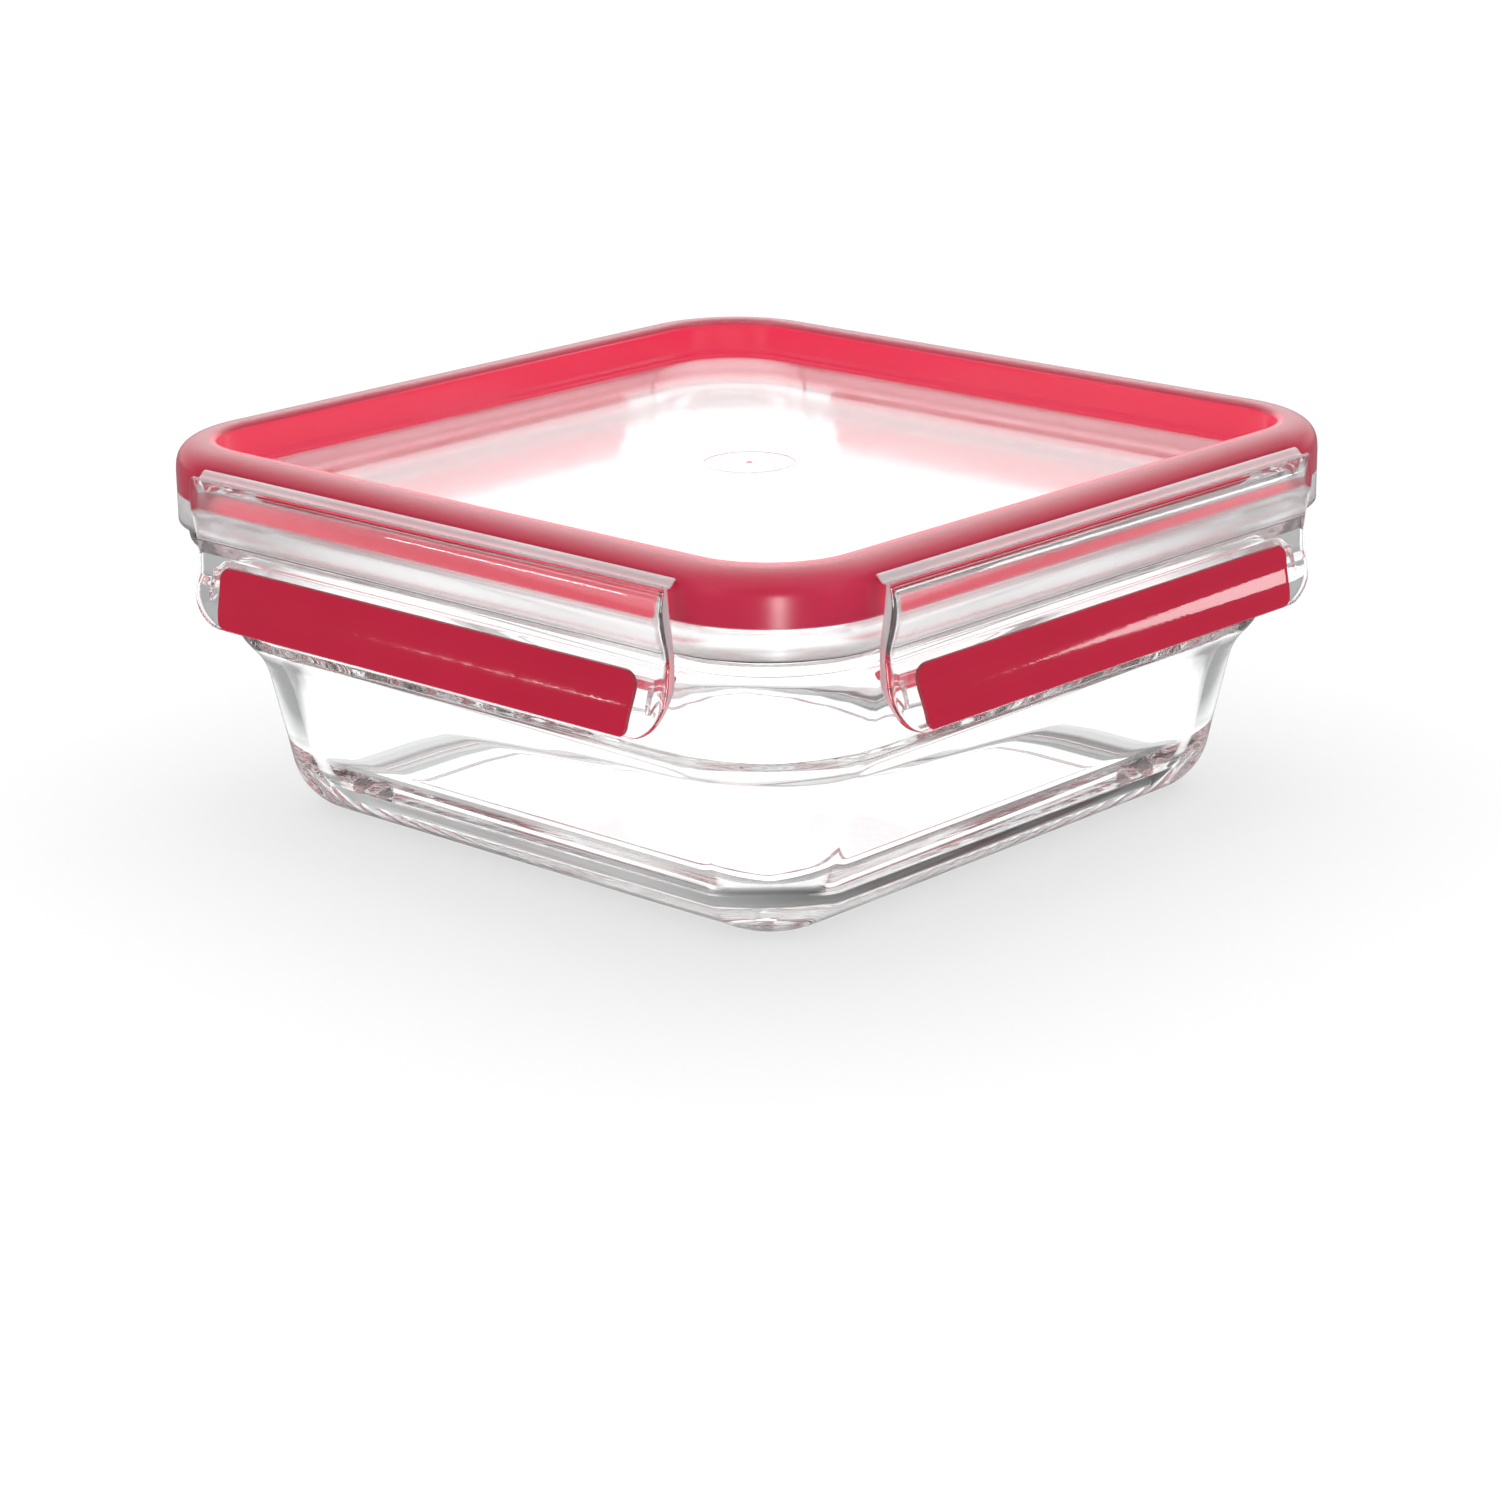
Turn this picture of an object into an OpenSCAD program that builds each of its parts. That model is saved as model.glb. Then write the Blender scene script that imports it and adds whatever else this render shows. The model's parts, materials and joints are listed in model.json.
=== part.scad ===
// Square glass food storage container with a clip-on lid.
// Millimetres, +Z up, origin at the centre of the base.
// The dish is one glass pressing. The lid is a clear moulding with a soft
// seal ring in its rim channel and four clips, each on a film hinge.

/* [Overall] */
// Width of the lid across its rim
lid_w = 176; // [160:2:200]
// Height from the base to the top of the lid
total_h = 76.8; // [76.4:0.1:78]
// Outer corner radius of the lid rim
lid_corner_r = 25.6; // [24:0.2:28]

/* [Glass dish] */
// Width of the flat base across its foot
base_w = 123; // [118:1:126]
// Corner radius of the flat base
base_corner_r = 8; // [6:0.5:10]
// Thickness of the floor
floor_t = 5.2; // [4:0.2:7]
// Thickness of the side walls
wall_t = 3.9; // [3.4:0.1:4.4]
// Height of the shoulder where the wall steps outward
shoulder_z = 35; // [30:1:37]
// Height of the underside of the rim bead
bead_z = 55.8; // [54:0.2:56.6]

/* [Lid] */
// Wall thickness of the clear lid moulding
lid_t = 1.5; // [1.2:0.1:1.8]
// Width of the raised rim
rim_w = 8.5; // [8:0.1:10]
// Depth of the window panel below the top of the rim
panel_drop = 7.6; // [6:0.2:9]
// Height of the lower edge of the outer skirt
skirt_z = 60.4; // [59.5:0.1:61]
// Height of the underside of the seal ring
seal_z = 66.1; // [65.9:0.1:67]
// Diameter of the round gate mark in the middle of the panel
gate_d = 18; // [10:1:24]

/* [Clips] */
// Length of each clip along its side
clip_len = 127; // [120:1:130]
// Radius of the lower corners of a clip
clip_corner_r = 9; // [4:1:10]
// Length of the soft grip pad
pad_len = 113; // [80:1:115]
// Thickness of the soft grip pad
pad_t = 1.1; // [0.8:0.1:1.3]
// Length of the latch rib inside a clip
rib_len = 119; // [80:1:120]
// How far the latch rib reaches inward from the clip
rib_reach = 4.6; // [3:0.1:5]

/* [Hidden] */

lid_half = lid_w / 2;
base_half = base_w / 2;
corner_c = lid_half - lid_corner_r;     // where the lid's corners have their centre
edge_r = 3.6;                           // rounding of the rim's outer top edge
inner_edge_r = 1.4;                     // rounding of the rim's inner top edge
window_half = lid_half - rim_w;         // half the opening inside the raised rim
channel_in = window_half + lid_t;       // inner wall of the seal channel
channel_out = lid_half - lid_t;         // outer wall of the seal channel
panel_z = total_h - panel_drop;         // top of the window panel
panel_t = 2;
ledge_w = 1.5;                          // small step round the window panel
ledge_h = 0.9;
plug_z = 63.2;                          // lower edge of the locating wall in the dish

rim_out = lid_half - 1.9;               // outside of the glass rim bead
rim_in = channel_in + 0.5;              // inside of the glass rim
rim_top = seal_z - 0.3;                 // crown of the glass rim, just under the seal
upper_half = lid_half - 6.1;            // outside of the wall under the bead

hinge_x = lid_half + 1.4;               // bending line of the film hinge
hinge_z = total_h - 3.5;
web_end = hinge_x + 1;                  // where the film hinge meets the clip
rib_z = bead_z - 0.3;                   // top of the latch rib, just under the bead
clip_foot_z = 44.4;                     // lowest edge of a clip
inner_face = lid_half + 0.5;            // inner face of the clip behind the bead

clear_tint = [0.86, 0.9, 0.92, 0.4];
glass_tint = [0.8, 0.88, 0.88, 0.35];
seal_red = [0.86, 0.1, 0.25];
pad_red = [0.75, 0.14, 0.26];

// A square with round corners, from its half width
module rounded_square(half, r) {
    square([2 * half, 2 * (half - r)], center = true);
    square([2 * (half - r), 2 * half], center = true);
    for (x = [-1, 1], y = [-1, 1])
        translate([x * (half - r), y * (half - r)])
            circle(r, $fn = 64);
}

// Sweeps an edge profile round the lid: four straight sides and four corners.
// The profile's x is its distance from the middle of the lid.
module swept_round() {
    for (k = [0:3]) rotate(90 * k) {
        translate([0, corner_c, 0])
            rotate([90, 0, 0])
                linear_extrude(2 * corner_c)
                    children();
        translate([corner_c, corner_c, 0])
            rotate_extrude(angle = 90, $fn = 96)
                translate([-corner_c, 0])
                    children();
    }
}

// Points of an arc, for rounded profile edges
function arc(cx, cy, r, a0, a1, n = 6) =
    [for (i = [0:n]) let (a = a0 + (a1 - a0) * i / n) [cx + r * cos(a), cy + r * sin(a)]];

// ---- Glass dish ----

// One level of the dish: a rounded square of half width h and corner radius r
corner_steps = 9;
function level(h, r, z) =
    [for (k = [0:3], i = [0:corner_steps])
        let (a = 90 * k + 90 * i / corner_steps,
             sx = (k == 0 || k == 3) ? 1 : -1,
             sy = (k < 2) ? 1 : -1)
        [sx * (h - r) + r * cos(a), sy * (h - r) + r * sin(a), z]];

// A level of the wall, whose corners share one centre from the base to the bead
wall_c = base_half - base_corner_r;
function wall(p) = [p[0], p[0] - wall_c, p[1]];

// A level of the rim, whose corners share the lid's centre
function rim(h, z) = [h, h - corner_c, z];

// The wall's outside, as half width and height: round heel, straight wall and shoulder
heel_r = 13.6;
heel_tilt = 12.5;                       // the wall leans outward by this many degrees
heel_line = arc(base_half - 3.7, heel_r - 0.5, heel_r, -65, -heel_tilt, 7);
side_line = [
    [base_half + 12.2, shoulder_z - 13],
    [base_half + 13.9, shoulder_z - 5.5],
    [base_half + 14.6, shoulder_z - 3.8],
    [base_half + 15.5, shoulder_z - 2.2],
    [base_half + 16.7, shoulder_z - 0.7],
    [base_half + 18,   shoulder_z + 0.7],
    [base_half + 19.1, shoulder_z + 2.2],
    [base_half + 19.7, shoulder_z + 3.9],
    [base_half + 20,   shoulder_z + 6],
    [upper_half,       bead_z - 1.6]];

// The same line moved into the glass by a thickness
function inward(line, t) = [for (i = [0:len(line) - 1])
    let (a = line[max(i - 1, 0)], b = line[min(i + 1, len(line) - 1)], d = (b - a) / norm(b - a))
    [line[i][0] - t * d[1], line[i][1] + t * d[0]]];

// Levels from the base up the outside, then down the inside to the floor
rim_levels = [
    rim(rim_out - 2,        bead_z),
    rim(rim_out - 0.5,      bead_z + 0.7),
    rim(rim_out,            bead_z + 2.2),
    rim(rim_out,            rim_top - 2),
    rim(rim_out - 0.7,      rim_top - 0.5),
    rim(rim_out - 2,        rim_top),
    rim(rim_in + 1.1,       rim_top),
    rim(rim_in + 0.2,       rim_top - 1),
    rim(rim_in,             rim_top - 4.2)];
inner_side = inward(side_line, wall_t);
fillet_r = 12.6;                        // between the wall's inside and the floor
floor_line = arc(base_half - 5.7, floor_t + fillet_r, fillet_r, -heel_tilt, -88, 9);
fillet_h = fillet_r * (1 - sin(heel_tilt));
// A level of that fillet, whose corners grow rounder towards the floor
function fillet_level(p) =
    let (low = (floor_t + fillet_h - p[1]) / fillet_h)
    [p[0], p[0] - wall_c + 5.7 * low * low, p[1]];
dish_levels = concat(
    [wall([base_half, 0]), wall([base_half + 1, 0.35])],
    [for (p = heel_line) wall(p)],
    [for (p = side_line) wall(p)],
    [wall([upper_half + 0.8, bead_z - 0.4])],
    rim_levels,
    [wall([upper_half - wall_t + 0.7, bead_z + 2.4])],
    [for (i = [len(inner_side) - 1:-1:0]) wall(inner_side[i])],
    [for (p = floor_line) fillet_level(p)],
    [[base_half - 6.7, 7, floor_t]]);

module glass_dish() {
    n = 4 * (corner_steps + 1);
    count = len(dish_levels);
    points = [for (l = dish_levels) each level(l[0], l[1], l[2])];
    walls = [for (j = [0:count - 2], i = [0:n - 1])
        let (a = j * n + i, b = j * n + (i + 1) % n)
        each [[a, b + n, b], [a, a + n, b + n]]];
    base = [for (i = [0:n - 1]) i];
    floor_face = [for (i = [n - 1:-1:0]) (count - 1) * n + i];
    color(glass_tint)
        polyhedron(points, concat([base, floor_face], walls), convexity = 8);
}

// ---- Lid ----

// Cross-section of the lid rim: skirt, top, locating wall and window ledge
module lid_rim_profile() {
    polygon(concat(
        [[channel_out, skirt_z + 0.4], [channel_out + 0.4, skirt_z],
         [lid_half - 0.4, skirt_z], [lid_half, skirt_z + 0.4]],
        arc(lid_half - edge_r, total_h - edge_r, edge_r, 0, 90),
        arc(window_half + inner_edge_r, total_h - inner_edge_r, inner_edge_r, 90, 180),
        [[window_half, panel_z + ledge_h],
         [window_half - ledge_w, panel_z + ledge_h],
         [window_half - ledge_w, panel_z - panel_t],
         [window_half + 0.2, panel_z - panel_t],
         [window_half + 0.2, plug_z],
         [channel_in - 0.4, plug_z],
         [channel_in, plug_z + 0.6],
         [channel_in, total_h - lid_t]],
        arc(lid_half - edge_r, total_h - edge_r, edge_r - lid_t, 90, 0)));
}

module lid_cover() {
    color(clear_tint) {
        swept_round()
            lid_rim_profile();
        difference() {
            translate([0, 0, panel_z - panel_t])
                linear_extrude(panel_t)
                    rounded_square(window_half - ledge_w, lid_corner_r - rim_w - ledge_w);
            difference() {
                translate([0, 0, panel_z - 0.3])
                    cylinder(h = 1, d = gate_d, $fn = 96);
                translate([0, 0, panel_z - 1])
                    cylinder(h = 3, d = 1.6, $fn = 32);
            }
        }
    }
}

// Soft ring that fills the channel and presses on the glass rim
module seal_ring() {
    color(seal_red)
        swept_round()
            polygon(concat(
                [[channel_in, total_h - lid_t], [channel_in, seal_z + 0.6],
                 [channel_in + 0.6, seal_z], [channel_out - 0.6, seal_z],
                 [channel_out, seal_z + 0.6]],
                arc(lid_half - edge_r, total_h - edge_r, edge_r - lid_t, 0, 90)));
}

// ---- Clips, drawn for the +X side ----

// Extrudes a cross-section along the side, centred, over a length
module along_side(length) {
    translate([0, length / 2, 0])
        rotate([90, 0, 0])
            linear_extrude(length)
                children();
}

// Face outline with round lower corners, extruded through the clip's thickness
module face_outline(length, z0, z1, r_low, r_high) {
    translate([lid_half - 10, 0, 0])
        rotate([90, 0, 90])
            linear_extrude(24) {
                for (s = [-1, 1]) {
                    translate([s * (length / 2 - r_low), z0 + r_low])
                        circle(r_low, $fn = 64);
                    translate([s * (length / 2 - r_high), z1 - r_high])
                        circle(r_high, $fn = 48);
                }
                translate([-length / 2 + r_low, z0])
                    square([length - 2 * r_low, z1 - z0 - r_high]);
                translate([-length / 2, z0 + r_low])
                    square([length, z1 - z0 - r_low - r_high]);
                translate([-length / 2 + r_high, z0 + r_low])
                    square([length - 2 * r_high, z1 - z0 - r_low]);
            }
}

waist_x = lid_half + 2.7;               // narrowest place on the clip's outer face
waist_z = 58.2;
toe_x = lid_half + 5.4;                 // where the flared foot ends
flare = [[waist_x + 0.3, 56.6], [waist_x + 1, 52.4], [toe_x, clip_foot_z + 0.6]];

// Cross-section of a clip: shoulder, waist and flared foot
module clip_profile() {
    polygon(concat(
        [[web_end, hinge_z - 0.7], [web_end, hinge_z + 0.1],
         [web_end + 0.4, hinge_z + 0.15], [web_end + 1, hinge_z - 0.3],
         [lid_half + 4.1, hinge_z - 2.3], [lid_half + 4.5, hinge_z - 4.4],
         [lid_half + 4, hinge_z - 8.4], [waist_x + 0.2, waist_z + 1.3],
         [waist_x, waist_z]],
        flare,
        [[toe_x - 0.4, clip_foot_z], [toe_x - 1.9, clip_foot_z],
         [waist_x + 0.4, 48.6], [waist_x - 0.8, 51.8], [inner_face + 0.3, 53.6],
         [inner_face, 54.4], [inner_face, 61], [lid_half + 1.2, hinge_z - 6.2],
         [lid_half + 1.7, hinge_z - 2.6]]));
}

// Cross-section of the grip pad: the outer layer of the flared foot
module pad_profile() {
    polygon(concat(
        flare,
        [[toe_x - 0.4, clip_foot_z], [toe_x - 0.4 - pad_t * 0.6, clip_foot_z],
         [toe_x - pad_t, clip_foot_z + 0.9],
         [waist_x + 1 - pad_t, 52.4 - pad_t * 0.2],
         [waist_x + 0.3 - pad_t, 56.4]]));
}

module pad_solid() {
    intersection() {
        along_side(pad_len)
            pad_profile();
        face_outline(pad_len, clip_foot_z - 6, 56.6, 2, 3);
    }
}

module clip_solid() {
    intersection() {
        along_side(clip_len)
            clip_profile();
        face_outline(clip_len, clip_foot_z - 0.01, hinge_z + 2, clip_corner_r, 1.2);
    }
}

module clip() {
    color(clear_tint)
        difference() {
            clip_solid();
            pad_solid();
        }
}

module grip_pad() {
    color(pad_red)
        pad_solid();
}

// Hooked rib that snaps under the glass bead, with a gusset at each end
module latch_rib() {
    rib_tip = inner_face - rib_reach;
    gusset_t = 1.2;
    color(clear_tint)
        difference() {
            union() {
                along_side(rib_len)
                    polygon([[rib_tip, rib_z - 0.8], [rib_tip + 0.5, rib_z - 0.1],
                             [rib_tip + 1.2, rib_z], [inner_face + 1, rib_z],
                             [inner_face + 1, rib_z - 2.4], [rib_tip + 0.8, rib_z - 1.9]]);
                for (s = [-1, 1])
                    translate([0, s * (rib_len - gusset_t) / 2, 0])
                        along_side(gusset_t)
                            polygon([[rib_tip + 0.8, rib_z - 1.5], [inner_face + 2.4, rib_z - 1.5],
                                     [inner_face + 2.4, rib_z - 7]]);
            }
            clip_solid();
        }
}

// Thin web, dished between the lid and the clip, that bends as the clip turns
module film_hinge() {
    web_t = 0.5;
    sag_r = web_end - hinge_x;
    color(clear_tint)
        difference() {
            along_side(clip_len - 1)
                polygon(concat(
                    [[lid_half - 1, hinge_z + 1.1], [lid_half - 1, hinge_z - 0.4]],
                    arc(hinge_x, hinge_z + 0.4, sag_r + 0.4, 212, 290, 5),
                    [[web_end, hinge_z - 0.7], [web_end, hinge_z - 0.2]],
                    arc(hinge_x, hinge_z + 0.4, sag_r - web_t + 0.3, 300, 205, 5),
                    [[lid_half + 0.3, hinge_z + 0.9]]));
            swept_round()
                lid_rim_profile();
        }
}

// Turns a piece drawn for the +X side to another side
module on_side(quarter_turns) {
    rotate(90 * quarter_turns)
        children();
}

glass_dish();
lid_cover();
seal_ring();
on_side(0) clip();  // clip_right
on_side(1) clip();  // clip_back
on_side(2) clip();  // clip_left
on_side(3) clip();  // clip_front
on_side(0) grip_pad();  // grip_pad_right
on_side(1) grip_pad();  // grip_pad_back
on_side(2) grip_pad();  // grip_pad_left
on_side(3) grip_pad();  // grip_pad_front
on_side(0) latch_rib();  // latch_rib_right
on_side(1) latch_rib();  // latch_rib_back
on_side(2) latch_rib();  // latch_rib_left
on_side(3) latch_rib();  // latch_rib_front
on_side(0) film_hinge();  // film_hinge_right
on_side(1) film_hinge();  // film_hinge_back
on_side(2) film_hinge();  // film_hinge_left
on_side(3) film_hinge();  // film_hinge_front
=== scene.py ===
import json
import math

import bmesh
import bpy
from mathutils import Matrix, Vector


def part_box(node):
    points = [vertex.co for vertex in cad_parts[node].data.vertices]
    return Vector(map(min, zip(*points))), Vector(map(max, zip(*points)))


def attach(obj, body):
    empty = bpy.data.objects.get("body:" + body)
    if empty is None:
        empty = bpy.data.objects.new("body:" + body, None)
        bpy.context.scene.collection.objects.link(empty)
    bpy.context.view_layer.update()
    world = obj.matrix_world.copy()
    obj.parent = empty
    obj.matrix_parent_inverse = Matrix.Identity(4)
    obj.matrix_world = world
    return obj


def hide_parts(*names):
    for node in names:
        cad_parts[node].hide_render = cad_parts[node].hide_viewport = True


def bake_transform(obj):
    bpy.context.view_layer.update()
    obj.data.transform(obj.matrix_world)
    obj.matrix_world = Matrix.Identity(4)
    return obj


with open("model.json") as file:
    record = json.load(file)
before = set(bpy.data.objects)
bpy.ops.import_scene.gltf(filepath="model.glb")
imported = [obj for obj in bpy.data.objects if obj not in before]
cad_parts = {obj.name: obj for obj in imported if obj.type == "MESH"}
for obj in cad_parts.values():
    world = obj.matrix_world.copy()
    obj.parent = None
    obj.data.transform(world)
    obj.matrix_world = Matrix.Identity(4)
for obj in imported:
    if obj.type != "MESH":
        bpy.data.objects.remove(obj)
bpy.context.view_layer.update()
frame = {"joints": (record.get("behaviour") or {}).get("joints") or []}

MM = 0.001

# ---- Sizes, in millimetres, read from the frame ----


def box_mm(node):
    """A CAD node's lowest and highest corners at rest, in millimetres."""
    low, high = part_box(node)
    return low / MM, high / MM


lid_low, lid_high = box_mm("lid_cover")
seal_low, seal_high = box_mm("seal_ring")
clip_low, clip_high = box_mm("clip_right")
rib_low, rib_high = box_mm("latch_rib_right")
dish_high = box_mm("glass_dish")[1]
pad_high = box_mm("grip_pad_right")[1]
hinge_joint = next(j for j in frame["joints"] if j["name"] == "clip_right_hinge")

LID_HALF = lid_high.x
LID_TOP = lid_high.z
SKIRT_Z = lid_low.z
SEAL_Z = seal_low.z
CHANNEL_OUT = seal_high.x
RIM_OUT = dish_high.x
RIM_TOP = dish_high.z
HINGE_X = hinge_joint["pos_m"][0] / MM
HINGE_Z = hinge_joint["pos_m"][2] / MM
TOE_X = clip_high.x
FOOT_Z = clip_low.z
CLIP_HALF = clip_high.y
PAD_HALF = pad_high.y
PAD_TOP = pad_high.z
RIB_HALF = rib_high.y

LID_T = 1.5                     # wall of the clear lid
CORNER_R = 25.6                 # outer corner radius of the lid
CORNER_C = LID_HALF - CORNER_R  # centre of the lid's corners
RIM_W = 8.5                     # width of the raised rim round the window
WINDOW_HALF = LID_HALF - RIM_W
CHANNEL_IN = WINDOW_HALF + LID_T
PANEL_Z = LID_TOP - 7.6         # top face of the window panel
PANEL_T = 2.0
LEDGE_W, LEDGE_H = 1.5, 0.9     # the step between the window panel and the rim
PLUG_Z = 63.2                   # lower end of the wall that locates the lid in the glass

BASE_HALF = 61.5
BASE_CORNER_R = 8
FLOOR_T = 5.2
WALL_T = 3.9
SHOULDER_Z = 35
BEAD_Z = 55.8                   # lower edge of the bead that the clips latch under
UPPER_HALF = LID_HALF - 6.1     # the wall's half width just below the bead
GATE_R = 9.0                    # the round gate mark in the middle of the window
GROOVE_HALF, GROOVE_W, GROOVE_D = 48.3, 1.3, 0.8   # the square line pressed under the base

SIDES = ["right", "back", "left", "front"]

# ---- Mesh building ----


def new_object(name, verts, faces, sharp_deg=40):
    """A smooth-shaded mesh object, from points in millimetres."""
    mesh = bpy.data.meshes.new(name)
    mesh.from_pydata([Vector(v) * MM for v in verts], [], faces)
    bm = bmesh.new()
    bm.from_mesh(mesh)
    bmesh.ops.recalc_face_normals(bm, faces=bm.faces)
    bm.to_mesh(mesh)
    bm.free()
    mesh.polygons.foreach_set("use_smooth", [True] * len(mesh.polygons))
    mesh.set_sharp_from_angle(angle=math.radians(sharp_deg))
    obj = bpy.data.objects.new(name, mesh)
    bpy.context.scene.collection.objects.link(obj)
    return obj


def weighted_normals(obj):
    """Lets large flat faces keep their shading beside small rounded ones."""
    mod = obj.modifiers.new("flat_faces_stay_flat", "WEIGHTED_NORMAL")
    mod.keep_sharp = True
    mod.weight = 50
    return obj


def fillet(points, closed=False, step_deg=12):
    """Rounds the corners of a polyline of (x, z, radius), and returns (x, z) points."""
    out = []
    n = len(points)
    for i, p in enumerate(points):
        radius = p[2] if len(p) > 2 else 0
        if radius <= 0 or (not closed and i in (0, n - 1)):
            out.append((p[0], p[1]))
            continue
        here = Vector(p[:2])
        before, after = Vector(points[i - 1][:2]), Vector(points[(i + 1) % n][:2])
        a, b = before - here, after - here
        half_turn = a.angle(b) / 2
        if half_turn > math.radians(89.5):
            out.append((p[0], p[1]))
            continue
        reach = min(radius / math.tan(half_turn), 0.49 * a.length, 0.49 * b.length)
        radius = reach * math.tan(half_turn)
        bisector = (a.normalized() + b.normalized()).normalized()
        middle = here + bisector * radius / math.sin(half_turn)
        start, end = here + a.normalized() * reach, here + b.normalized() * reach
        a0 = math.atan2(start.y - middle.y, start.x - middle.x)
        a1 = math.atan2(end.y - middle.y, end.x - middle.x)
        turn = (a1 - a0 + math.pi) % (2 * math.pi) - math.pi
        steps = max(2, math.ceil(abs(math.degrees(turn)) / step_deg))
        for k in range(steps + 1):
            t = a0 + turn * k / steps
            out.append((middle.x + radius * math.cos(t), middle.y + radius * math.sin(t)))
    return out


def chaikin(levels, times=2):
    """Smooths a list of levels by cutting corners; its two ends stay."""
    for _ in range(times):
        out = [levels[0]]
        for a, b in zip(levels, levels[1:]):
            out.append(tuple(0.75 * p + 0.25 * q for p, q in zip(a, b)))
            out.append(tuple(0.25 * p + 0.75 * q for p, q in zip(a, b)))
        out.append(levels[-1])
        levels = out
    return levels


ARC_STEPS = 22                                 # faces round each corner of a level
SIDE_STOPS = [0.02, 0.12, 0.5, 0.88, 0.98]     # where a level's straight sides have points


def square_ring(half, radius, z):
    """Points round a rounded square, the same number for any size."""
    c = half - radius
    ring = []
    for k in range(4):
        cx, cy = [(c, c), (-c, c), (-c, -c), (c, -c)][k]
        for i in range(ARC_STEPS + 1):
            a = math.radians(90 * k + 90 * i / ARC_STEPS)
            ring.append((cx + radius * math.cos(a), cy + radius * math.sin(a), z))
        end = ring[-1]
        nx, ny = [(-c, c), (-c, -c), (c, -c), (c, c)][k]
        a = math.radians(90 * (k + 1))
        start = (nx + radius * math.cos(a), ny + radius * math.sin(a))
        for t in SIDE_STOPS:
            ring.append((end[0] + (start[0] - end[0]) * t, end[1] + (start[1] - end[1]) * t, z))
    return ring


def loft(rings, closed=False, caps=True):
    """Vertices and faces of a skin over rings that have the same number of points."""
    n = len(rings[0])
    verts = [p for ring in rings for p in ring]
    faces = []
    count = len(rings)
    for j in range(count if closed else count - 1):
        a, b = j * n, ((j + 1) % count) * n
        for i in range(n):
            k = (i + 1) % n
            faces.append((a + i, a + k, b + k, b + i))
    if caps and not closed:
        faces.append(tuple(range(n - 1, -1, -1)))
        faces.append(tuple((count - 1) * n + i for i in range(n)))
    return verts, faces


def rim_ring(h, z):
    """Points round a level of the lid or the seal, whose corners share one centre."""
    return square_ring(h, h - CORNER_C, z)


def turned(obj, quarter_turns):
    """Turns a mesh drawn for the +X side to another side, in its vertices."""
    obj.data.transform(Matrix.Rotation(math.radians(90 * quarter_turns), 4, "Z"))
    return obj


# ---- Glass dish ----

HEEL_LOW, HEEL_HIGH = 0.4, 3.4      # the band at the heel whose glass is tinted grey: painted shade, the dark band along the base

WALL_C = BASE_HALF - BASE_CORNER_R
HEEL_R, HEEL_TILT = 13.6, 12.5
FILLET_R, FILLET_IN = 12.6, 5.7     # the fillet round the floor, and how far in it starts


def wall(point):
    """A level of the wall, whose corners share one centre from the base to the bead."""
    return (point[0], point[0] - WALL_C, point[1])


def fillet_level(point):
    """A level of the fillet between wall and floor, whose corners grow rounder downwards."""
    height = FILLET_R * (1 - math.sin(math.radians(HEEL_TILT)))
    low = min(1, (FLOOR_T + height - point[1]) / height)
    return (point[0], point[0] - WALL_C + FILLET_IN * low * low, point[1])


def rim(h, z):
    """A level of the glass rim, whose corners share the lid's centre."""
    return (h, h - CORNER_C, z)


def arc(cx, cy, r, start, end, steps):
    """Points on an arc between two angles in degrees."""
    angles = [math.radians(start + (end - start) * i / steps) for i in range(steps + 1)]
    return [(cx + r * math.cos(a), cy + r * math.sin(a)) for a in angles]


def inward(line, t):
    """A line of the wall's outside moved into the glass by a thickness."""
    out = []
    for i, p in enumerate(line):
        d = Vector(line[min(i + 1, len(line) - 1)]) - Vector(line[max(i - 1, 0)])
        d.normalize()
        out.append((p[0] - t * d.y, p[1] + t * d.x))
    return out


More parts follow.
